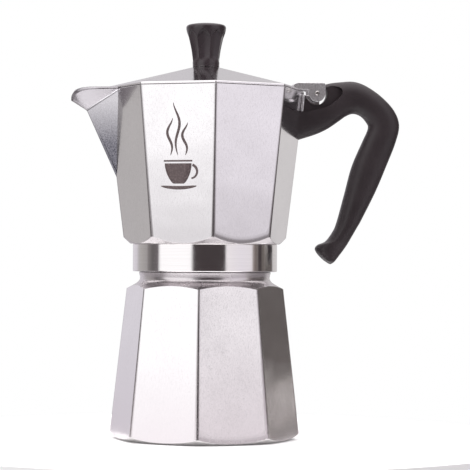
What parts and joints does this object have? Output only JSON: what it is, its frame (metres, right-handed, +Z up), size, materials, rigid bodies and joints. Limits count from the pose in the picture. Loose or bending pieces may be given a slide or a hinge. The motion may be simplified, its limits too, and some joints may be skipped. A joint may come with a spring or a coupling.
{
  "type": "moka pot",
  "caption": "Stove-top coffee maker: octagonal cast boiler and screw-on collector with beak spout, hinged pyramid lid with fluted knob, and a looped side handle.",
  "frame": {"origin": "middle of the boiler's flat foot, on the surface that the pot stands on", "axes": "+Z up along the pot's axis, +X towards the handle, -X towards the spout"},
  "size_m": [0.2311, 0.1392, 0.2904],
  "materials": {
    "cast_aluminium": "cast and polished",
    "polished_aluminium": "mirror polished",
    "spun_aluminium": "satin, spun",
    "seal_rubber": "matt",
    "black_plastic": "satin moulded",
    "steel": "bright",
    "brass": "machined"
  },
  "bodies": {
    "boiler": {"boiler": "cast_aluminium", "valve_body": "brass", "valve_washer": "seal_rubber", "valve_seat": "brass", "valve_spring": "steel"},
    "plunger": {"valve_plunger": "brass"},
    "funnel": {"funnel": "spun_aluminium", "funnel_disc": "spun_aluminium"},
    "filter": {"gasket": "seal_rubber", "filter_plate": "spun_aluminium"},
    "collector": {"collector": "polished_aluminium", "riser_column": "spun_aluminium", "handle": "black_plastic", "hinge_pin": "steel", "handle_peg": "steel"},
    "lid": {"lid": "polished_aluminium", "knob": "black_plastic", "knob_insert": "brass", "knob_washer": "steel", "knob_screw": "steel"}
  },
  "joints": [
    {"name": "valve_lift", "type": "slide", "parent": "boiler", "child": "plunger", "axis": [-0.2186, 0.97, 0.1064], "range_m": [0, 0.0015], "stiffness_N_per_m": 2600, "springref_m": -0.001, "deforming": ["valve_spring"]},
    {"name": "funnel_lift", "type": "slide", "parent": "boiler", "child": "funnel", "axis": [0, 0, 1], "range_m": [0, 0.15]},
    {"name": "thread_rise", "type": "slide", "parent": "funnel", "child": "filter", "axis": [0, 0, 1], "range_m": [0, 0.00842]},
    {"name": "collector_turn", "type": "hinge", "parent": "filter", "child": "collector", "pos_m": [0, 0, 0.125], "axis": [0, 0, 1], "range_deg": [0, 792]},
    {"name": "lid_hinge", "type": "hinge", "parent": "collector", "child": "lid", "pos_m": [0.0775, 0, 0.242], "axis": [0, 1, 0], "range_deg": [0, 90]}
  ],
  "couplings": [
    {"joint": "thread_rise", "follows": "collector_turn", "m_per_rad": 0.00057296}
  ]
}
